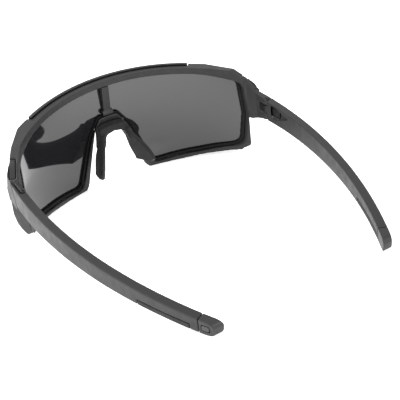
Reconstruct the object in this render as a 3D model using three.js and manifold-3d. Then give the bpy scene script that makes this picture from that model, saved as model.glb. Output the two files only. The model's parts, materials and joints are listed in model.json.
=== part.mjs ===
// Full-rim shield sunglasses: one wide cylindrical lens in a moulded frame, with two folding temples.
// Everything is drawn with the lens upright: X to the wearer's right, Y forward, Z up, and the middle of
// the lens' rear face at Y = 0. The last step leans the whole thing onto the lower rims and temple ends.
import * as THREE from 'three';
import { mergeVertices } from 'three/addons/utils/BufferGeometryUtils.js';
import Module from 'manifold-3d';

const wasm = await Module();
wasm.setup();

// ---------------------------------------------------------------- driving dimensions, mm
const CLEARANCE = 0.3;
const TALL = 120; // longer than the front in any direction, for cutters

const LENS_RADIUS = 75.4; // rear face of the lens
const LENS_THICKNESS = 2;
const LENS_SEGMENTS = 120;
const RIM_DEPTH = 2.3; // how far the rims stand behind the lens' rear face
const BROW_DEPTH = 3.2;
const SEAL_DEPTH = 1;
const SEAL_WIDTH = 2;
const FORWARD_LEAN = 0.1; // how far the lens and rims run forwards on their way down, mm per mm
const LENS_EDGE = 2.3; // how far the lens runs past the visible opening, where the frame is wide
const FRONT_RADIUS = 84.8; // front face of the frame
const FRONT_CENTRE_Y = -81.2;
const BROW_FRONT_RADIUS = 76.6; // the frame's front above the lens, behind the trim
const TRIM_THICKNESS = 2.2;
const TRIM_HALF_ANGLE = 0.62;
const TRIM_HEIGHT = 2.4;
const TRIM_PROUD = 0.9;
const BROW_TOP = 27.3; // top of the brow at the middle
const BROW_DROOP = 0.0011; // its fall, mm per mm squared of x
const OPENING_TOP = 24.2;
const OPENING_DROOP = 0.0013;

const SHOULDER_ANGLE = 1.03; // the direction that the frame's shoulder is drawn along, from +Y
const REAR_EDGE_Y = -38.7; // rear edge of the side rims
const CROWN_RADIUS = 76; // the brow's top falls away forwards from here
const CROWN_SLOPE = 0.5;
const BROW_GROOVE = 0.6; // width and depth of the line along the brow's top
const POST_WIDTH = 4.2;
const NOSE_TOP = 2.9; // top of the frame's nose cut-out
const LOBE_TOP = -1;
const LOBE_BOTTOM = -21.8;
const LOBE_FRONT_Y = -4.3;
const LOBE_BACK = 11.2; // how far a lobe reaches back from its front edge
const LOBE_RECESS = 1.4; // how far back its front edge runs towards its lower end
const LOBE_FLARE = 0.52; // outwards per mm back
const LOBE_INNER = 4.8; // inner face's x at the front edge, at the lens' middle height
const LOBE_SPLAY = 0.18; // outwards per mm down
const LOBE_WIDTH = 6.3;

const PIN_X = 67.75;
const PIN_Y = -51.9;
const PIN_RADIUS = 0.6;
const PIN_CLEARANCE = 0.08;
const LUG_HALF = 1.25; // half the lug's thickness, and its end's radius
const LUG_TOP = 11.4;
const LUG_BOTTOM = -0.2;
const EYE_LOW = 3.2; // the slot in the lug that holds the leaf's eye
const EYE_HIGH = 7.8;
const SLOT_FRONT_Y = -46.4;
const EYE_FRONT_Y = -46.9;
const SHELL_FRONT_Y = -43.2; // where the temple's outer shell starts

const ARM_RADIUS = 245; // outer face of the temple, seen from above
const ARM_APEX_X = 70.9;
const ARM_APEX_Y = -60;
const ARM_THICKNESS = 4.1;
const ARM_GAP = 0.45; // between the lug's round end and the arm behind it
const ARM_END_Y = -173.4;
const TIP_LENGTH = 6;
const PLATE_DEPTH = 0.9;
const GRIP_START_Y = -140;
const GRIP_LENGTH = 24;
const GRIP_HEIGHT = 2.6;
const LEAN = THREE.MathUtils.degToRad(9.13); // lean of the lens when the glasses stand on a table
const FLOOR_DEPTH = 33.03; // from the lens' middle down to the table
const MIDDLE_BACK = 80.1; // from the lens' middle back to the middle of the glasses

// ---------------------------------------------------------------- three.js to solid and back
function solidOf(geometry) {
  const bare = geometry.clone();
  bare.deleteAttribute('normal');
  bare.deleteAttribute('uv');
  const merged = mergeVertices(bare, 1e-4);
  return new wasm.Manifold(new wasm.Mesh({
    numProp: 3,
    vertProperties: new Float32Array(merged.attributes.position.array),
    triVerts: new Uint32Array(merged.index.array),
  }));
}

function geometryOf(solid) {
  const mesh = solid.getMesh();
  const geometry = new THREE.BufferGeometry();
  geometry.setAttribute('position', new THREE.BufferAttribute(new Float32Array(mesh.vertProperties), 3));
  geometry.setIndex(new THREE.BufferAttribute(new Uint32Array(mesh.triVerts), 1));
  geometry.computeVertexNormals();
  return geometry;
}

// The same solid on the other side of the wearer's face.
function mirrored(solid) {
  const geometry = geometryOf(solid);
  geometry.applyMatrix4(new THREE.Matrix4().makeScale(-1, 1, 1));
  const index = geometry.index.array;
  for (let i = 0; i < index.length; i += 3) [index[i], index[i + 1]] = [index[i + 1], index[i]];
  return solidOf(geometry);
}

const both = (solid) => solid.add(mirrored(solid));

// ---------------------------------------------------------------- outlines and prisms
// A closed shape through corner points [u, v, radius], each corner rounded to its radius or as far as
// its two sides allow.
function roundedShape(corners) {
  const shape = new THREE.Shape();
  corners.forEach(([u, v, radius = 0], i) => {
    const corner = new THREE.Vector2(u, v);
    const before = new THREE.Vector2(...corners.at(i - 1)).sub(corner);
    const after = new THREE.Vector2(...corners[(i + 1) % corners.length]).sub(corner);
    const half = before.angleTo(after) / 2;
    const reach = Math.min(radius / Math.tan(half), 0.49 * before.length(), 0.49 * after.length());
    const start = corner.clone().addScaledVector(before.normalize(), reach);
    const end = corner.clone().addScaledVector(after.normalize(), reach);
    if (i === 0) shape.moveTo(start.x, start.y);
    else shape.lineTo(start.x, start.y);
    if (radius > 0) shape.quadraticCurveTo(corner.x, corner.y, end.x, end.y);
  });
  return shape;
}

// The same corners moved outwards, with each radius grown to match: each by its own share of the depth
// and by the whole of the spread. Corners run anticlockwise.
function grown(corners, depth, spread = 0) {
  return corners.map(([u, v, radius = 0, share = 1], i) => {
    const distance = depth * share + spread;
    const corner = new THREE.Vector2(u, v);
    const before = corner.clone().sub(new THREE.Vector2(...corners.at(i - 1))).normalize();
    const after = new THREE.Vector2(...corners[(i + 1) % corners.length]).sub(corner).normalize();
    const normal = new THREE.Vector2(before.y + after.y, -before.x - after.x).normalize();
    const reach = distance / Math.max(0.5, normal.dot(new THREE.Vector2(before.y, -before.x)));
    const turnsLeft = before.cross(after) > 0;
    const newRadius = radius > 0 ? Math.max(0.5, radius + (turnsLeft ? distance : -distance)) : 0;
    return [u + normal.x * reach, v + normal.y * reach, newRadius];
  });
}

const extrude = (shape, depth) =>
  new THREE.ExtrudeGeometry(shape, { depth, bevelEnabled: false, curveSegments: 6 });

// An outline in the front view (x, z), run from y = back to y = front.
function frontPrism(corners, back = -TALL, front = TALL) {
  const geometry = extrude(roundedShape(corners), front - back);
  geometry.rotateX(Math.PI / 2);
  geometry.translate(0, front, 0);
  return solidOf(geometry);
}

// An outline in the plan view (x, y), run from z = low to z = high.
function planPrism(shape, low, high) {
  const geometry = extrude(shape, high - low);
  geometry.translate(0, 0, low);
  return solidOf(geometry);
}

// An outline in the side view (y, z), run from x = inner to x = outer.
function sidePrism(shape, inner, outer) {
  const geometry = extrude(shape, outer - inner);
  const axes = [new THREE.Vector3(0, 1, 0), new THREE.Vector3(0, 0, 1), new THREE.Vector3(1, 0, 0)];
  geometry.applyMatrix4(new THREE.Matrix4().makeBasis(...axes));
  geometry.translate(inner, 0, 0);
  return solidOf(geometry);
}

// An outline in the shoulder's own view: u runs back and outwards round the shoulder and v is z,
// and it runs from near to far along SHOULDER_ANGLE.
const along = new THREE.Vector3(Math.sin(SHOULDER_ANGLE), Math.cos(SHOULDER_ANGLE), 0);
const across = new THREE.Vector3(Math.cos(SHOULDER_ANGLE), -Math.sin(SHOULDER_ANGLE), 0);
const up = new THREE.Vector3(0, 0, 1);
function shoulderPrism(corners, near, far) {
  const geometry = extrude(roundedShape(corners), far - near);
  // across x up points against along, so the depth runs from far to near
  geometry.applyMatrix4(new THREE.Matrix4().makeBasis(across, up, along.clone().negate()));
  geometry.translate(along.x * far, along.y * far, 0);
  return solidOf(geometry);
}

// An upright cylinder.
function upright(radius, x, y, low = -TALL, high = TALL, segments = LENS_SEGMENTS) {
  const geometry = new THREE.CylinderGeometry(radius, radius, high - low, segments);
  geometry.rotateX(Math.PI / 2);
  geometry.translate(x, y, (low + high) / 2);
  return solidOf(geometry);
}

// Everything in front of a y.
const aheadOf = (y) => frontPrism([[-TALL, -TALL], [TALL, -TALL], [TALL, TALL], [-TALL, TALL]], y);

// The part of a cylindrical wall about the lens' axis that lies in front of the wearer.
function lensWall(rear, front) {
  const wall = upright(front, 0, -LENS_RADIUS).subtract(upright(rear, 0, -LENS_RADIUS));
  return wall.intersect(aheadOf(-LENS_RADIUS));
}

// The lean that the lens, its rims and what they hold share, about the top of the opening.
const leanMatrix = new THREE.Matrix4().makeTranslation(0, FORWARD_LEAN * OPENING_TOP, 0)
  .multiply(new THREE.Matrix4().makeShear(0, 0, 0, 0, 0, -FORWARD_LEAN));
const leaned = (solid) => solid.transform(leanMatrix.elements);

// ---------------------------------------------------------------- outlines of the front
// Corner points of the right-hand half from the bottom middle round to the top middle, then mirrored.
function symmetric(rightHalf) {
  const leftHalf = rightHalf.filter(([u]) => u > 0).map(([u, ...rest]) => [-u, ...rest]).reverse();
  return [...rightHalf, ...leftHalf];
}

// Corners whose fully rounded line follows the brow's curve, from its outer end to the middle.
const SMOOTH = 2000; // a radius that rounds a corner as far as its sides allow
const BROW_STEP = 24;
function browLine(top, droop, outermost) {
  const line = [];
  for (let x = outermost; x >= 0; x -= BROW_STEP) {
    line.push([x, top - droop * (x ** 2 - BROW_STEP ** 2 / 4), SMOOTH, 0.35]);
  }
  return line;
}

// The visible opening of the frame, anticlockwise: nose arch, lower rim, side, then the brow. The fourth
// number is the share of the lens' edge depth that the frame has room for there.
const OPENING = symmetric([
  [0, 7.6, 40, 0.4],
  [6.2, 7, 4, 0.4],
  [13.4, -3.6, 20, 0.8],
  [23.2, -30, 3.5, 0.8],
  [46, -26.1, 40, 0.8],
  [62.6, -21.5, 7, 0.5],
  [63.5, -2, 30, 0.4],
  [61.9, 17.2, 4, 0.35],
  ...browLine(OPENING_TOP, OPENING_DROOP, 48),
]);

// The outer edge of the frame, seen from the front.
const OUTLINE = symmetric([
  [0, NOSE_TOP, 0],
  [8.2, NOSE_TOP - 1, 4],
  [12, -10.5, 30],
  [18.8, -34.6, 5.5],
  [40, -31.7, 40],
  [54, -28.3, 20],
  [67.6, -23.6, 8],
  [69.6, -12, 20],
  [69.8, 0, 40],
  [70.2, 14, 20],
  ...browLine(BROW_TOP, BROW_DROOP, 72),
]);

// The band between the top of the opening and the top of the frame, where the brow is thicker.
const BROW_BAND = symmetric([
  ...browLine(OPENING_TOP, OPENING_DROOP, 48).reverse(),
  [61.9, 17.2, 4],
  [64.9, 10, 0],
  [TALL, 10, 0],
  [TALL, TALL, 0],
  [0, TALL, 0],
]);

// ---------------------------------------------------------------- the front frame
// The rounded fall of the frame's top at the shoulder, as a cutter above it.
function shoulderCutter() {
  return shoulderPrism([[56.5, 24.4], [60, 22, 8], [66, 18.2, 20], [71.4, 12.9, 6], [75, LUG_TOP + 0.7],
    [95, LUG_TOP + 0.7], [95, 60], [56.5, 60]], 20, 60);
}

// The slanted outer side of the lower rim and its rounded lower rear corner, as a cutter below the lug.
function sideCutter() {
  const plan = roundedShape([[64.9, REAR_EDGE_Y], [70.9, -26], [90, -26], [90, -90], [50, -90],
    [50, REAR_EDGE_Y]]);
  const corner = new THREE.Shape();
  corner.moveTo(REAR_EDGE_Y - 5, -18.6);
  corner.lineTo(REAR_EDGE_Y - 5, -40);
  corner.lineTo(REAR_EDGE_Y + 9.7, -40);
  corner.lineTo(REAR_EDGE_Y + 9.7, -25.3);
  corner.quadraticCurveTo(REAR_EDGE_Y + 3.2, -24.4, REAR_EDGE_Y, -18.6);
  return planPrism(plan, -60, -3.6).add(sidePrism(corner, 62.8, 90));
}

// The shoulder's outer face leans inwards to its top: a cutter outside it, run round the shoulder.
function outerCutter() {
  const outline = roundedShape([[37.8, 26], [39, 18.5, 8], [40.7, 12, 8], [43.6, 4], [60, 4], [60, 26]]);
  const geometry = extrude(outline, 60);
  geometry.applyMatrix4(new THREE.Matrix4().makeBasis(along, up, across));
  geometry.translate(across.x * 40, across.y * 40, 0);
  const rear = SHELL_FRONT_Y + CLEARANCE;
  return solidOf(geometry).intersect(aheadOf(rear));
}

// A ring about the lens' axis with this profile (r, z), drooping with the brow, as a cutter.
function browRing(profile) {
  const geometry = new THREE.LatheGeometry(profile.map(([r, z]) => new THREE.Vector2(r, z)), LENS_SEGMENTS);
  geometry.rotateX(Math.PI / 2);
  const place = geometry.attributes.position;
  for (let i = 0; i < place.count; i += 1) {
    const droop = BROW_DROOP * place.getX(i) ** 2;
    place.setXYZ(i, place.getX(i), -place.getY(i) - LENS_RADIUS, -place.getZ(i) - droop);
  }
  return solidOf(geometry).intersect(aheadOf(-LENS_RADIUS + 35));
}

// What lies above the brow's forward slope, and the thin line cut along the brow's top.
function crownCutter() {
  const reach = 16;
  const slope = [[CROWN_RADIUS, BROW_TOP], [CROWN_RADIUS + reach, BROW_TOP - CROWN_SLOPE * reach],
    [CROWN_RADIUS + reach, 50], [CROWN_RADIUS, 50], [CROWN_RADIUS, BROW_TOP]];
  const rear = CROWN_RADIUS - 1.6;
  const front = rear + BROW_GROOVE;
  const floor = BROW_TOP - BROW_GROOVE;
  const line = [[rear, floor], [front, floor], [front, 50], [rear, 50], [rear, floor]];
  return browRing(slope).add(browRing(line));
}

// The block behind the shoulder that narrows into the hinge lug, with its slot and pin hole.
function hingeBlock() {
  const plan = new THREE.Shape();
  plan.moveTo(62.5, -34);
  plan.lineTo(64.2, REAR_EDGE_Y);
  plan.lineTo(PIN_X - LUG_HALF, -44.5);
  plan.lineTo(PIN_X - LUG_HALF, PIN_Y);
  plan.absarc(PIN_X, PIN_Y, LUG_HALF, Math.PI, 2 * Math.PI, false);
  plan.lineTo(PIN_X + LUG_HALF, SHELL_FRONT_Y + CLEARANCE);
  plan.lineTo(70.3, SHELL_FRONT_Y + CLEARANCE);
  plan.lineTo(69.9, -36);
  plan.lineTo(68, -30.5);
  const side = roundedShape([[-30, -3.6], [-41, -3.6, 6], [-49, LUG_BOTTOM - 1, 8], [-56, LUG_BOTTOM],
    [-56, LUG_TOP - 0.3], [-44, LUG_TOP + 0.5], [-42.6, 30], [-30, 30]].reverse());
  const slotPlan = [[60, -60], [PIN_X + LUG_HALF + 0.1, -60], [PIN_X + LUG_HALF + 0.1, SLOT_FRONT_Y],
    [60, SLOT_FRONT_Y]];
  const slot = planPrism(roundedShape(slotPlan), EYE_LOW, EYE_HIGH);
  const hole = upright(PIN_RADIUS + PIN_CLEARANCE, PIN_X, PIN_Y, -TALL, TALL, 20);
  return planPrism(plan, -10, 30).intersect(sidePrism(side, 55, 80)).subtract(slot).subtract(hole);
}

// The recess in the shoulder that the hinge cover sits in, and the cover itself, are the same shape.
function coverBlock(inset) {
  const highEnd = 63.4 + inset;
  const lowEnd = 71.2 - inset;
  const floorAt = (s) => 17.4 - 0.87 * (s - 63.4) + 1.33 * inset;
  return shoulderPrism([[highEnd, floorAt(highEnd)], [lowEnd, floorAt(lowEnd)], [lowEnd, 40], [highEnd, 40]],
    35.7 + inset, 39.1 - inset);
}

function frameBody() {
  const front = upright(FRONT_RADIUS, 0, FRONT_CENTRE_Y);
  const rims = front.subtract(upright(LENS_RADIUS - RIM_DEPTH, 0, -LENS_RADIUS));
  const brow = front.subtract(upright(LENS_RADIUS - BROW_DEPTH, 0, -LENS_RADIUS))
    .intersect(frontPrism(BROW_BAND));
  const rough = rims.add(brow).intersect(frontPrism(OUTLINE, REAR_EDGE_Y - 10));
  return leaned(rough).intersect(aheadOf(REAR_EDGE_Y));
}

// The room that the lens takes in the frame, and the wider mouths behind and in front of it.
function lensRoom() {
  const groove = lensWall(LENS_RADIUS - CLEARANCE, LENS_RADIUS + LENS_THICKNESS + CLEARANCE)
    .intersect(frontPrism(grown(OPENING, LENS_EDGE, CLEARANCE)));
  const rear = lensWall(20, LENS_RADIUS + 1).intersect(frontPrism(grown(OPENING, SEAL_WIDTH, CLEARANCE)));
  const browLip = frontPrism(BROW_BAND)
    .intersect(lensWall(LENS_RADIUS - BROW_DEPTH - 5, LENS_RADIUS - SEAL_DEPTH - 2 * CLEARANCE));
  const mouth = frontPrism(grown(OPENING, 1));
  return groove.add(rear.subtract(browLip)).add(mouth.subtract(browLip));
}

// The step in the brow's front and top that the trim sits in.
function trimRoom() {
  const outside = trimWedge(CLEARANCE).subtract(upright(BROW_FRONT_RADIUS, 0, -LENS_RADIUS));
  return outside.intersect(trimBand(CLEARANCE));
}

// The wedge about the lens' axis that the trim fills, seen from above.
function trimWedge(spread) {
  const angle = TRIM_HALF_ANGLE + spread / LENS_RADIUS;
  const x = TALL * Math.sin(angle);
  const y = TALL * Math.cos(angle) - LENS_RADIUS;
  return planPrism(roundedShape([[0, -LENS_RADIUS], [x, y], [-x, y]]), 0, TALL);
}

// The height band of the trim in the front view, following the brow's top.
function trimBand(spread) {
  const top = BROW_TOP + TRIM_PROUD + 10 * spread;
  const low = BROW_TOP + TRIM_PROUD - TRIM_HEIGHT - spread;
  const lowerLine = browLine(low, BROW_DROOP, 72).reverse();
  return frontPrism(symmetric([...lowerLine, ...browLine(top, BROW_DROOP, 72)]));
}

function browTrim() {
  const rear = BROW_FRONT_RADIUS + CLEARANCE;
  return lensWall(rear, rear + TRIM_THICKNESS).intersect(trimWedge(0)).intersect(trimBand(0));
}

function frontFrame() {
  const body = frameBody().subtract(both(sideCutter())).add(both(hingeBlock()));
  const rooms = lensRoom().add(crownCutter()).add(trimRoom()).add(postShape(CLEARANCE));
  const shoulders = both(outerCutter().add(shoulderCutter()).add(coverBlock(0)));
  return body.subtract(leaned(rooms)).subtract(shoulders).subtract(floorSlab());
}

// ---------------------------------------------------------------- pieces held by the frame
function lens() {
  return lensWall(LENS_RADIUS, LENS_RADIUS + LENS_THICKNESS).intersect(frontPrism(grown(OPENING, LENS_EDGE)));
}

function lensSeal() {
  const rear = LENS_RADIUS - CLEARANCE - SEAL_DEPTH;
  const strip = frontPrism(grown(OPENING, SEAL_WIDTH)).subtract(frontPrism(OPENING));
  return lensWall(rear, LENS_RADIUS - CLEARANCE).intersect(strip).subtract(postShape(CLEARANCE));
}

// The upright behind the lens: a bar deeper at the brow, with a wider foot and a spigot up behind the
// brow's lip. The spread makes the room for it.
function postShape(spread) {
  const half = POST_WIDTH / 2 + spread;
  const top = OPENING_TOP - CLEARANCE;
  const low = 7.2 - spread;
  const bar = roundedShape([[1, top], [-3.2 - spread, top], [-1.8 - spread, low], [1, low]]);
  const footTop = 9.7 + spread;
  const foot = roundedShape([[1, footTop], [-2 - spread, footTop], [-3 - spread, 8.5], [-3 - spread, low],
    [1, low]]);
  const spigotTop = top + 1.1 + spread;
  const spigot = roundedShape([[1, spigotTop], [-1.3 - spread, spigotTop], [-1.3 - spread, top - 3],
    [1, top - 3]]);
  const behindLens = upright(LENS_RADIUS - CLEARANCE + spread, 0, -LENS_RADIUS);
  return sidePrism(bar, -half, half)
    .add(sidePrism(foot, -half - 1, half + 1))
    .add(sidePrism(spigot, -half, half))
    .intersect(behindLens);
}

// One lobe of the saddle: a plate that flares outwards and backwards from beside the nose cut-out. It is
// extruded downwards from a unit outline (across, back), whose size and place follow the height.
function padLobe() {
  const unit = roundedShape([[0, 0], [0, 1], [0.2, 1.06], [0.55, 0.8], [0.8, 0.4], [1, 0]].reverse());
  const geometry = new THREE.ExtrudeGeometry(unit, { depth: 1, steps: 10, bevelEnabled: false });
  const place = geometry.attributes.position;
  const ease = THREE.MathUtils.smoothstep;
  for (let i = 0; i < place.count; i += 1) {
    const z = THREE.MathUtils.lerp(LOBE_TOP, LOBE_BOTTOM, place.getZ(i));
    const reach = 0.3 + 0.7 * ease(-z, -LOBE_TOP, 16) - 0.25 * ease(-z, 19, -LOBE_BOTTOM);
    const back = LOBE_BACK * reach * place.getY(i);
    const front = LOBE_RECESS * ease(-z, 12, -LOBE_BOTTOM);
    const inner = LOBE_INNER - LOBE_SPLAY * z + LOBE_FLARE * front;
    const wide = LOBE_WIDTH * (0.62 + 0.38 * ease(-z, -LOBE_TOP, 14));
    place.setXYZ(i, inner + LOBE_FLARE * back + wide * place.getX(i), LOBE_FRONT_Y - front - back, z);
  }
  return solidOf(geometry);
}

// The rubber saddle: an arch under the frame's nose cut-out, and its two lobes.
function nosePad() {
  const archTop = NOSE_TOP - CLEARANCE;
  const half = [[0, -0.8], [5.2, -1.8, 3], [7.1, -8, 4], [11.5, -10, 3], [9, -2.6, 6],
    [7.9, archTop - 0.5, 2], [0, archTop]];
  const side = roundedShape([[3.4, 4], [-4.4, 4, 2], [-7, -5, 6], [-8, -12], [-3, -12], [-1, -6]]);
  const arch = frontPrism(symmetric(half)).intersect(sidePrism(side, -30, 30));
  const room = lensWall(LENS_RADIUS - RIM_DEPTH - CLEARANCE, FRONT_RADIUS + 10)
    .intersect(frontPrism(grown(OUTLINE, CLEARANCE)));
  return arch.add(both(padLobe())).subtract(leaned(room));
}

function hingeCover() {
  const skin = shoulderPrism([[55, 23.7], [60, 21.6, 8], [66, 17.8, 20], [71.4, 12.5, 6], [80, 8], [80, 60],
    [55, 60]], 20, 60);
  return coverBlock(CLEARANCE).subtract(skin);
}

const hingePin = () => upright(PIN_RADIUS, PIN_X, PIN_Y, LUG_BOTTOM + 0.4, LUG_TOP - 0.9, 20);

// ---------------------------------------------------------------- the temples
// A quadratic line in the side view between two ends, by its middle control height.
function sideCurve(shape, fromY, toY, control, toZ) {
  shape.quadraticCurveTo((fromY + toY) / 2, control, toY, toZ);
}

// The temple's side view, drawn anticlockwise from the lower front.
function armSide() {
  const shape = new THREE.Shape();
  shape.moveTo(ARM_END_Y + 1.6, -6.1);
  sideCurve(shape, ARM_END_Y, SHELL_FRONT_Y, -1.45, -0.6);
  shape.lineTo(SHELL_FRONT_Y, LUG_TOP);
  sideCurve(shape, SHELL_FRONT_Y, ARM_END_Y + 2.2, 6.95, 0.1);
  shape.quadraticCurveTo(ARM_END_Y - 0.3, -0.4, ARM_END_Y - 0.4, -2.2);
  shape.quadraticCurveTo(ARM_END_Y - 0.2, -5.9, ARM_END_Y + 1.6, -6.1);
  return shape;
}

// The temple's curved ribbon in plan, between two places along it.
function armRibbon(fromY, toY, inner = 0, outer = 0) {
  const centre = ARM_APEX_X - ARM_RADIUS;
  const start = Math.asin((fromY - ARM_APEX_Y) / ARM_RADIUS);
  const end = Math.asin((toY - ARM_APEX_Y) / ARM_RADIUS);
  const ribbon = new THREE.Shape();
  ribbon.absarc(centre, ARM_APEX_Y, ARM_RADIUS - outer, end, start, false);
  ribbon.absarc(centre, ARM_APEX_Y, ARM_RADIUS - ARM_THICKNESS + inner, start, end, true);
  return new THREE.Shape(ribbon.getPoints(12));
}

const ribbonPrism = (fromY, toY) => planPrism(armRibbon(fromY, toY), -20, 20);

// Where the rubber strip sits along the lower edge near the end.
function gripBlock(inset) {
  const fromY = GRIP_START_Y - inset;
  const toY = GRIP_START_Y - GRIP_LENGTH + inset;
  const band = new THREE.Shape();
  band.moveTo(toY, -20);
  band.lineTo(fromY, -20);
  band.lineTo(fromY, -4 + GRIP_HEIGHT - inset);
  band.lineTo(toY, -5.5 + GRIP_HEIGHT - inset);
  return sidePrism(band, 0, 90);
}

// The recess behind the hinge on the inner face: deepest under the top ridge, fading downwards.
function scoop() {
  const side = roundedShape([[-72, 6.6], [-60, 1.5, 3], [-56.6, 3, 2], [-56.6, 9.4, 1]]);
  const roll = new THREE.CylinderGeometry(12, 12, 40, 48);
  roll.translate(ARM_APEX_X - ARM_THICKNESS - 12 + 1.3, -60, 7.4);
  return sidePrism(side, 50, 80).intersect(solidOf(roll));
}

function arm() {
  let body = ribbonPrism(SHELL_FRONT_Y, ARM_END_Y + TIP_LENGTH).intersect(sidePrism(armSide(), 0, 90));
  const lapSide = PIN_X + LUG_HALF + CLEARANCE;
  const lap = roundedShape([[60, PIN_Y], [lapSide, PIN_Y], [lapSide, -30], [60, -30]]);
  const knuckle = upright(LUG_HALF + ARM_GAP, PIN_X, PIN_Y, -20, 20, 28);
  body = body.subtract(planPrism(lap, -20, 20)).subtract(knuckle);
  return body.subtract(leafBlock(CLEARANCE)).subtract(gripBlock(0)).subtract(scoop()).subtract(floorSlab());
}

// The leaf that lies in the arm: a plate behind the pin, thicker than the eye by the clearance each way.
function leafBlock(spread) {
  const plate = roundedShape([[PIN_X - 0.1 - spread, -63.5 - spread], [PIN_X + 1.2 + spread, -63.5 - spread],
    [PIN_X + 1.2 + spread, PIN_Y], [PIN_X - 0.1 - spread, PIN_Y]]);
  return planPrism(plate, EYE_LOW + CLEARANCE - spread, EYE_HIGH - CLEARANCE + spread);
}

function hingeLeaf() {
  const low = EYE_LOW + CLEARANCE;
  const high = EYE_HIGH - CLEARANCE;
  const eye = upright(LUG_HALF, PIN_X, PIN_Y, low, high, 28);
  const tongue = roundedShape([[PIN_X - LUG_HALF, PIN_Y], [PIN_X + LUG_HALF - 0.2, PIN_Y],
    [PIN_X + LUG_HALF - 0.2, EYE_FRONT_Y], [PIN_X - LUG_HALF, EYE_FRONT_Y]]);
  const hole = upright(PIN_RADIUS + PIN_CLEARANCE, PIN_X, PIN_Y, -20, 20, 20);
  return leafBlock(0).add(eye).add(planPrism(tongue, low, high)).subtract(hole);
}

function grip() {
  return ribbonPrism(GRIP_START_Y + 5, ARM_END_Y + TIP_LENGTH - 2).intersect(sidePrism(armSide(), 0, 90))
    .intersect(gripBlock(CLEARANCE)).subtract(floorSlab());
}

// The small plate let into the tip's outer face, in a pocket of the same outline.
function plateBlock(inset, proud) {
  const rear = ARM_END_Y + 1.4 + inset;
  const front = ARM_END_Y + 4.9 - inset;
  const low = -4.4 + inset;
  const high = -1.6 - inset;
  const outline = roundedShape([[rear, low, 0.7], [front, low, 0.7], [front, high, 0.7], [rear, high, 0.7]]);
  const skin = armRibbon(ARM_END_Y + TIP_LENGTH, ARM_END_Y, ARM_THICKNESS - PLATE_DEPTH + inset, -proud);
  return sidePrism(outline, 0, 90).intersect(planPrism(skin, -20, 20));
}

function tip() {
  return ribbonPrism(ARM_END_Y + TIP_LENGTH - CLEARANCE, ARM_END_Y - 3).intersect(sidePrism(armSide(), 0, 90))
    .subtract(plateBlock(0, 1)).subtract(floorSlab());
}

// ---------------------------------------------------------------- standing on the table
// Everything below the table, in the upright frame, so that the lower rims end in small flats.
function floorSlab() {
  const geometry = new THREE.BoxGeometry(TALL * 2, TALL * 4, 20);
  geometry.translate(0, 0, -FLOOR_DEPTH - 10);
  geometry.rotateX(-LEAN);
  return solidOf(geometry);
}

// ---------------------------------------------------------------- the group
const glasses = new THREE.Group();
glasses.rotation.x = LEAN;
glasses.position.set(0, MIDDLE_BACK, FLOOR_DEPTH);

function place(name, solid, colour, roughness, metalness = 0) {
  const material = new THREE.MeshStandardMaterial({ color: colour, roughness, metalness });
  const mesh = new THREE.Mesh(geometryOf(solid), material);
  mesh.name = name;
  glasses.add(mesh);
}

place('front_frame', frontFrame(), 0x2b2b2d, 0.55);
place('brow_trim', leaned(browTrim()), 0x262628, 0.5);
place('lens', leaned(lens()), 0x3a3b3e, 0.1);
place('lens_seal', leaned(lensSeal()), 0x0a0a0b, 0.5);
place('lens_post', leaned(postShape(0)), 0x242426, 0.55);
place('nose_pad', nosePad(), 0x2e2e2f, 0.8);

for (const [side, handed] of [['right', (solid) => solid], ['left', mirrored]]) {
  place(`hinge_cover_${side}`, handed(hingeCover()), 0x3c3c3e, 0.45);
  place(`hinge_pin_${side}`, handed(hingePin()), 0x8a8a8c, 0.3, 1);
  place(`hinge_leaf_${side}`, handed(hingeLeaf()), 0x6c6c6e, 0.35, 1);
  place(`temple_${side}`, handed(arm()), 0x2c2c2e, 0.5);
  place(`temple_grip_${side}`, handed(grip()), 0x29292a, 0.85);
  place(`temple_tip_${side}`, handed(tip()), 0x303032, 0.5);
  place(`tip_plate_${side}`, handed(plateBlock(CLEARANCE, 0)), 0x48484a, 0.4);
}

export default glasses;
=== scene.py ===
"""Looks of the shield sunglasses: moulded shells over the CAD frame, polished lens, soft rubber."""

import json
import math

import bpy
import numpy as np
from mathutils import Matrix, Quaternion, Vector


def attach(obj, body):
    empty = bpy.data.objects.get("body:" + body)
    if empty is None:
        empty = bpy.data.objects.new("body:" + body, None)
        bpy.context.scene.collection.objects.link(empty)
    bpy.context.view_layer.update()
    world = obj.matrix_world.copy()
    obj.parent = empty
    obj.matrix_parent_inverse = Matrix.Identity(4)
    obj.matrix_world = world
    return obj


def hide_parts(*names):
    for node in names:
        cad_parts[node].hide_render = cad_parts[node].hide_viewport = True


MM = 0.001

# ---------------------------------------------------------------- camera, lights and stage
LOOK_AZIMUTH = math.radians(25.3)  # the way the camera looks, from +Y towards +X
LOOK_DOWN = math.radians(23.81)
CAMERA_ROLL = math.radians(-12.06)
CAMERA_DISTANCE = 379.6 * MM
CAMERA_AIM = Vector((0.465, -10.967, 15.155)) * MM
FOCAL_LENGTH = 74.37  # for a sensor 36 mm wide
SENSOR_WIDTH = 36.0
FLOOR_SIZE = 6.0
FLOOR_GLOW = 0.6  # a light table: it hides the shadows
WORLD_STRENGTH = 1.0
LIGHT_AIM = (0, 0, 0.02)
KEY_LIGHT = {"place": (-0.9, 0.5, 1.3), "size": 0.9, "watts": 22}
BACK_LIGHT = {"place": (0.5, -1.2, 1.0), "size": 0.8, "watts": 8}

# ---------------------------------------------------------------- surfaces
SHELL_VOXEL = 0.34 * MM
FINE_VOXEL = 0.2 * MM
LENS_VOXEL = 0.6 * MM
LENS_RADIUS = 75.4 * MM  # rear face of the lens
LENS_THICKNESS = 2.0 * MM
FACE_REACH = 0.35 * MM  # how near a lens face its points are drawn onto it
FORWARD_LEAN = 0.1  # how far the lens comes forward for each unit down

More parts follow.
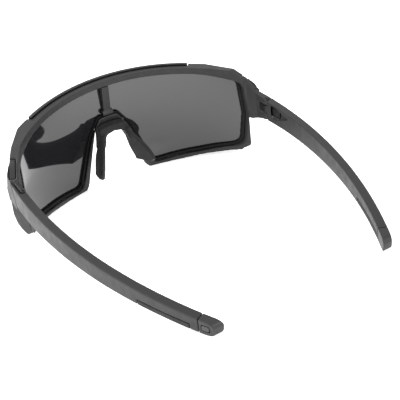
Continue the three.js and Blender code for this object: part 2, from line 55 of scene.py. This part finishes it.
# ---------------------------------------------------------------- colours, and noise scales per metre
FRAME_COLOUR = (0.010, 0.010, 0.0106)
TRIM_COLOUR = (0.007, 0.007, 0.0075)
ARM_COLOUR = (0.012, 0.012, 0.0127)
TIP_COLOUR = (0.016, 0.016, 0.017)
PLATE_COLOUR = (0.03, 0.03, 0.032)
PAD_COLOUR = (0.011, 0.011, 0.0115)
# Near black for the seal strip: a painted shadow standing in for the shaded groove between lens and rim.
SEAL_PAINTED_SHADE = (0.0006, 0.0006, 0.0007)
LENS_COLOURS = ((0.010, 0.010, 0.011), (0.014, 0.014, 0.015))
STEEL_COLOURS = ((0.02, 0.02, 0.021), (0.05, 0.05, 0.052))
FLOOR_COLOURS = ((0.9, 0.9, 0.9), (0.92, 0.92, 0.92))
CLOUD_SCALE = 90
PATCH_SCALE = 260
GRAIN_SCALE = 3200
BLOOM_SCALE = 420
WEAR_SCALE = 150
RUBBER_GRAIN_SCALE = 5200
SMEAR_SCALE = 35
WAVE_SCALE = 22
TURNING_SCALE = 500
TURNING_STRETCH = 14  # how much closer the turned lines lie along the piece
FLOOR_SCALE = 3

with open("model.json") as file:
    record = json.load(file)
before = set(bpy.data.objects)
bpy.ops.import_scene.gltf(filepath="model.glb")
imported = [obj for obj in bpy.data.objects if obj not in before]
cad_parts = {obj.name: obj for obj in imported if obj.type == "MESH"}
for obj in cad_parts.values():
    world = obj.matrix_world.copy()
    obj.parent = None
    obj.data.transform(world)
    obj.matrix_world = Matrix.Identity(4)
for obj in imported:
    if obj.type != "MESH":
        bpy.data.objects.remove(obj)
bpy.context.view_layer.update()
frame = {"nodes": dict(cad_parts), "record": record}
nodes = frame["nodes"]
record = frame["record"]
body_of_node = {node: body for body, names in record["behaviour"]["bodies"].items() for node in names}
hinge_axis = Vector(record["behaviour"]["joints"][0]["axis"])
LEAN = math.atan2(-hinge_axis.y, hinge_axis.z)  # the whole front leans back with its hinges
UPRIGHT = Matrix.Rotation(-LEAN, 4, "X")


def make_camera():
    """The main view: from behind the wearer's left shoulder, tilted a little."""
    look = Vector((
        math.sin(LOOK_AZIMUTH) * math.cos(LOOK_DOWN),
        math.cos(LOOK_AZIMUTH) * math.cos(LOOK_DOWN),
        -math.sin(LOOK_DOWN),
    ))
    data = bpy.data.cameras.new("main_camera")
    data.lens = FOCAL_LENGTH
    data.sensor_width = SENSOR_WIDTH
    camera = bpy.data.objects.new("main_camera", data)
    bpy.context.collection.objects.link(camera)
    camera.rotation_mode = "QUATERNION"
    camera.rotation_quaternion = look.to_track_quat("-Z", "Y") @ Quaternion((0, 0, 1), CAMERA_ROLL)
    camera.location = CAMERA_AIM - look * CAMERA_DISTANCE
    bpy.context.scene.camera = camera


# ---------------------------------------------------------------- node helpers
def new_material(name):
    """An empty node material with its shader and object coordinates: (material, shader, coordinates)."""
    material = bpy.data.materials.new(name)
    material.use_nodes = True
    tree = material.node_tree
    shader = tree.nodes["Principled BSDF"]
    coordinates = tree.nodes.new("ShaderNodeTexCoord").outputs["Object"]
    return material, shader, coordinates


def noise(tree, coordinates, scale, detail=3.0):
    """A noise texture's value output, with its scale per metre."""
    texture = tree.nodes.new("ShaderNodeTexNoise")
    texture.inputs["Scale"].default_value = scale
    texture.inputs["Detail"].default_value = detail
    tree.links.new(coordinates, texture.inputs["Vector"])
    return texture.outputs["Fac"]


def spread(tree, value, low, high, from_low=0.3, from_high=0.7):
    """A value mapped from the middle of a noise's range to low..high."""
    mapping = tree.nodes.new("ShaderNodeMapRange")
    mapping.inputs["From Min"].default_value = from_low
    mapping.inputs["From Max"].default_value = from_high
    mapping.inputs["To Min"].default_value = low
    mapping.inputs["To Max"].default_value = high
    tree.links.new(value, mapping.inputs["Value"])
    return mapping.outputs["Result"]


def mix_colour(tree, factor, first, second):
    """A colour between two, by a factor socket. Each is a colour or a colour socket."""
    mixing = tree.nodes.new("ShaderNodeMix")
    mixing.data_type = "RGBA"
    tree.links.new(factor, mixing.inputs["Factor"])
    for socket, colour in ((mixing.inputs[6], first), (mixing.inputs[7], second)):
        if isinstance(colour, bpy.types.NodeSocket):
            tree.links.new(colour, socket)
        else:
            socket.default_value = (*colour, 1)
    return mixing.outputs[2]


def bump(tree, height, shader, strength, distance):
    """Raises the shader's surface by a height socket."""
    node = tree.nodes.new("ShaderNodeBump")
    node.inputs["Strength"].default_value = strength
    node.inputs["Distance"].default_value = distance
    tree.links.new(height, node.inputs["Height"])
    tree.links.new(node.outputs["Normal"], shader.inputs["Normal"])


def moulded_plastic(name, colour, roughness, grain=1.0):
    """Moulded nylon: a fine spark-eroded grain, faint flow clouds and convex edges painted a little
    paler, a painted highlight along the ridges.
    """
    material, shader, coordinates = new_material(name)
    tree = material.node_tree
    clouds = noise(tree, coordinates, CLOUD_SCALE)
    darker = [c * 0.88 for c in colour]
    paler = [c * 1.12 for c in colour]
    body = mix_colour(tree, clouds, darker, paler)
    geometry = tree.nodes.new("ShaderNodeNewGeometry")
    # Painted highlight: convex edges, found by pointiness, are mixed towards 1.7 times the colour.
    edge_highlight_mask = spread(tree, geometry.outputs["Pointiness"], 0.0, 0.5, 0.53, 0.62)
    edge_highlight_colour = [c * 1.7 for c in colour]
    tree.links.new(mix_colour(tree, edge_highlight_mask, body, edge_highlight_colour), shader.inputs["Base Color"])
    patches = noise(tree, coordinates, PATCH_SCALE)
    tree.links.new(spread(tree, patches, roughness - 0.05, roughness + 0.06), shader.inputs["Roughness"])
    shader.inputs["Specular IOR Level"].default_value = 0.45
    bump(tree, noise(tree, coordinates, GRAIN_SCALE, 2.0), shader, 0.35 * grain, 0.05 * MM)
    return material


def soft_rubber(name, colour, bloom_sheen):
    """Dull elastomer with a dusty bloom on its raised places."""
    material, shader, coordinates = new_material(name)
    tree = material.node_tree
    bloom = spread(tree, noise(tree, coordinates, BLOOM_SCALE, 4.0), 0.0, 1.0)
    dusty = [c * 1.4 for c in colour]
    tree.links.new(mix_colour(tree, bloom, colour, dusty), shader.inputs["Base Color"])
    wear = noise(tree, coordinates, WEAR_SCALE)
    tree.links.new(spread(tree, wear, 0.62, 0.8), shader.inputs["Roughness"])
    shader.inputs["Sheen Weight"].default_value = bloom_sheen
    shader.inputs["Sheen Roughness"].default_value = 0.5
    shader.inputs["Specular IOR Level"].default_value = 0.25
    bump(tree, noise(tree, coordinates, RUBBER_GRAIN_SCALE, 2.0), shader, 0.25, 0.04 * MM)
    return material


def polished_lens(name):
    """Dark tinted polycarbonate with a weak mirror coat and the faintest waviness and smears."""
    material, shader, coordinates = new_material(name)
    tree = material.node_tree
    smears = noise(tree, coordinates, SMEAR_SCALE, 2.0)
    tree.links.new(mix_colour(tree, smears, *LENS_COLOURS), shader.inputs["Base Color"])
    tree.links.new(spread(tree, smears, 0.03, 0.06), shader.inputs["Roughness"])
    shader.inputs["IOR"].default_value = 1.85
    bump(tree, noise(tree, coordinates, WAVE_SCALE, 1.0), shader, 0.04, 0.2 * MM)
    return material


def blackened_steel(name):
    """Turned steel with a black oxide skin and fine lines round its length."""
    material, shader, coordinates = new_material(name)
    tree = material.node_tree
    stretch = tree.nodes.new("ShaderNodeMapping")
    stretch.inputs["Scale"].default_value = (1, 1, TURNING_STRETCH)
    tree.links.new(coordinates, stretch.inputs["Vector"])
    lines = noise(tree, stretch.outputs["Vector"], TURNING_SCALE, 4.0)
    tree.links.new(mix_colour(tree, lines, *STEEL_COLOURS), shader.inputs["Base Color"])
    tree.links.new(spread(tree, lines, 0.28, 0.45), shader.inputs["Roughness"])
    shader.inputs["Metallic"].default_value = 1.0
    bump(tree, lines, shader, 0.15, 0.02 * MM)
    return material


# ---------------------------------------------------------------- meshes
def evaluated_mesh(obj):
    """The object's mesh with its modifiers applied."""
    graph = bpy.context.evaluated_depsgraph_get()
    return bpy.data.meshes.new_from_object(obj.evaluated_get(graph))


def moulded(node, name, material, voxel=SHELL_VOXEL, rounds=6):
    """A shell over a CAD node with its sharp edges melted round, as they leave a mould."""
    obj = bpy.data.objects.new(name, nodes[node].data.copy())
    bpy.context.collection.objects.link(obj)
    obj.data.materials.clear()
    remesh = obj.modifiers.new("remesh", "REMESH")
    remesh.mode = "VOXEL"
    remesh.voxel_size = voxel
    smooth = obj.modifiers.new("soften", "SMOOTH")
    smooth.factor = 0.5
    smooth.iterations = rounds
    obj.data = evaluated_mesh(obj)
    obj.modifiers.clear()
    dress(obj, node, material)
    return obj


def dress(obj, node, material):
    """Gives a piece its material, smooth shading and body, and hides the CAD node it stands for."""
    obj.data.materials.clear()
    obj.data.materials.append(material)
    for polygon in obj.data.polygons:
        polygon.use_smooth = True
    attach(obj, body_of_node[node])
    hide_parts(node)


def true_lens(material):
    """The lens with its two faces drawn onto their true cylinders, so that they reflect cleanly."""
    obj = moulded("lens", "lens_body", material, LENS_VOXEL, 1)
    points = np.empty(len(obj.data.vertices) * 3)
    obj.data.vertices.foreach_get("co", points)
    turn = np.array(UPRIGHT.to_3x3())
    points = points.reshape(-1, 3) @ turn.T
    points[:, 1] += FORWARD_LEAN * points[:, 2]
    axis_y = points[:, 1].max() - LENS_RADIUS - LENS_THICKNESS
    radius = np.hypot(points[:, 0], points[:, 1] - axis_y)
    for face in (LENS_RADIUS, LENS_RADIUS + LENS_THICKNESS):
        near = np.abs(radius - face) < FACE_REACH
        pull = (face / radius[near])[:, None]
        centre = np.array([0, axis_y])
        points[near, :2] = centre + (points[near, :2] - centre) * pull
    points[:, 1] -= FORWARD_LEAN * points[:, 2]
    obj.data.vertices.foreach_set("co", (points @ turn).ravel())
    obj.data.update()
    return obj


def light(name, place, size, watts):
    """A square soft light that faces the glasses."""
    data = bpy.data.lights.new(name, "AREA")
    data.shape = "SQUARE"
    data.size = size
    data.energy = watts
    obj = bpy.data.objects.new(name, data)
    bpy.context.collection.objects.link(obj)
    obj.location = place
    obj.rotation_euler = (Vector(LIGHT_AIM) - Vector(place)).to_track_quat("-Z", "Y").to_euler()


def make_stage():
    """A pale lit floor under a white sky, with soft lights high in front on the left and high behind."""
    bpy.ops.mesh.primitive_grid_add(size=FLOOR_SIZE, x_subdivisions=8, y_subdivisions=8)
    floor = bpy.context.object
    floor.name = "floor"
    material, shader, coordinates = new_material("pale_floor")
    tree = material.node_tree
    tones = noise(tree, coordinates, FLOOR_SCALE)
    tree.links.new(mix_colour(tree, tones, *FLOOR_COLOURS), shader.inputs["Base Color"])
    shader.inputs["Roughness"].default_value = 0.9
    shader.inputs["Specular IOR Level"].default_value = 0.1
    shader.inputs["Emission Color"].default_value = (1, 1, 1, 1)
    shader.inputs["Emission Strength"].default_value = FLOOR_GLOW
    floor.data.materials.append(material)
    world = bpy.data.worlds.new("studio")
    world.use_nodes = True
    background = world.node_tree.nodes["Background"]
    background.inputs["Color"].default_value = (1, 1, 1, 1)
    background.inputs["Strength"].default_value = WORLD_STRENGTH
    bpy.context.scene.world = world
    light("key", **KEY_LIGHT)
    light("back", **BACK_LIGHT)


# ---------------------------------------------------------------- the glasses
def dress_glasses():
    """Every piece of the glasses, with its shell and material."""
    plastic = moulded_plastic("frame_nylon", FRAME_COLOUR, 0.5)
    trim = moulded_plastic("trim_nylon", TRIM_COLOUR, 0.42, 0.7)
    arm_plastic = moulded_plastic("temple_nylon", ARM_COLOUR, 0.48)
    tip_plastic = moulded_plastic("tip_nylon", TIP_COLOUR, 0.45, 0.7)
    plate = moulded_plastic("plate_grey", PLATE_COLOUR, 0.35, 0.4)
    rubber = soft_rubber("pad_rubber", PAD_COLOUR, 0.1)
    seal = soft_rubber("seal_painted_shade", SEAL_PAINTED_SHADE, 0.0)
    steel = blackened_steel("hinge_steel")

    moulded("front_frame", "frame_shell", plastic)
    moulded("brow_trim", "brow_trim_bar", trim, FINE_VOXEL)
    moulded("lens_post", "post_bar", plastic, FINE_VOXEL)
    moulded("nose_pad", "nose_saddle", rubber, FINE_VOXEL, 14)
    # The seal strip is painted near black, a painted shadow for the groove between lens and rim.
    moulded("lens_seal", "seal_strip", seal, FINE_VOXEL, 2)
    true_lens(polished_lens("lens_tint"))
    for side in ("left", "right"):
        moulded(f"temple_{side}", f"arm_{side}", arm_plastic, FINE_VOXEL, 10)
        moulded(f"temple_grip_{side}", f"grip_{side}", rubber, FINE_VOXEL)
        moulded(f"temple_tip_{side}", f"tip_{side}", tip_plastic, FINE_VOXEL)
        moulded(f"tip_plate_{side}", f"plate_{side}", plate, FINE_VOXEL / 2, 2)
        moulded(f"hinge_cover_{side}", f"cover_{side}", trim, FINE_VOXEL)
        for node in (f"hinge_pin_{side}", f"hinge_leaf_{side}"):
            nodes[node].data.materials.clear()
            nodes[node].data.materials.append(steel)


make_camera()
make_stage()
dress_glasses()
bpy.context.scene.view_settings.view_transform = "Standard"
